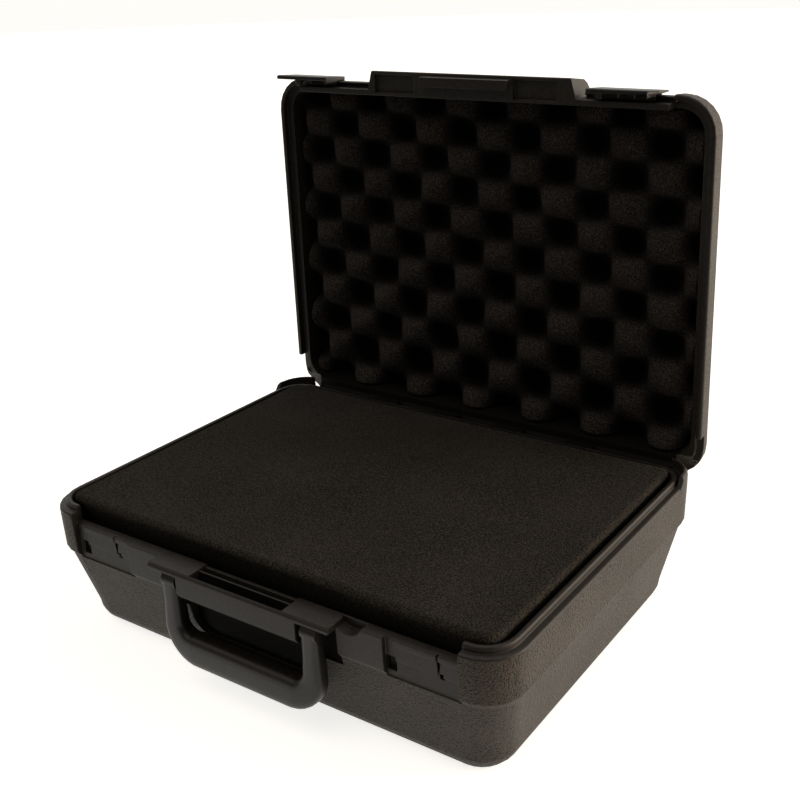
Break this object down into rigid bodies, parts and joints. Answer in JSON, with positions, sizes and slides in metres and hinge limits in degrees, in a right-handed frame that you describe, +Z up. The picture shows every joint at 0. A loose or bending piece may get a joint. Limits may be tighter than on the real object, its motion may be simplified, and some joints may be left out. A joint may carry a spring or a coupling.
{
  "type": "blow-moulded case",
  "caption": "Rectangular blow-moulded carrying case, lid standing open, with foam liners in base and lid, slide latches along the front edge of the lid and a swing handle.",
  "frame": {"origin": "middle of the base's flat bottom face, on the surface the case stands on", "axes": "+Z up, +X along the front towards the right-hand latch, -Y out of the front where the handle is, hinge along X at the back"},
  "size_m": [0.42, 0.3682, 0.4135],
  "materials": {
    "shell": "fine pebble grain",
    "hardware": "smooth, slight sheen",
    "foam": "open-cell foam, matt",
    "steel": "drawn wire"
  },
  "bodies": {
    "base": {"base_shell": "shell", "hinge_rod": "steel", "base_foam_pad": "foam", "base_foam_block": "foam"},
    "lid": {"lid_shell": "shell", "lid_foam": "foam"},
    "handle": {"carry_handle": "hardware"},
    "latch_left": {"latch_slide_left": "hardware"},
    "latch_right": {"latch_slide_right": "hardware"}
  },
  "joints": [
    {"name": "lid_hinge", "type": "hinge", "parent": "base", "child": "lid", "pos_m": [0, 0.14875, 0.09875], "axis": [1, 0, 0], "range_deg": [0, 90]},
    {"name": "handle_swing", "type": "hinge", "parent": "base", "child": "handle", "pos_m": [0, -0.1595, 0.0855], "axis": [-1, 0, 0], "range_deg": [0, 90]},
    {"name": "latch_left_slide", "type": "slide", "parent": "lid", "child": "latch_left", "axis": [1, 0, 0], "range_m": [0, 0.013]},
    {"name": "latch_right_slide", "type": "slide", "parent": "lid", "child": "latch_right", "axis": [1, 0, 0], "range_m": [0, 0.013]}
  ]
}
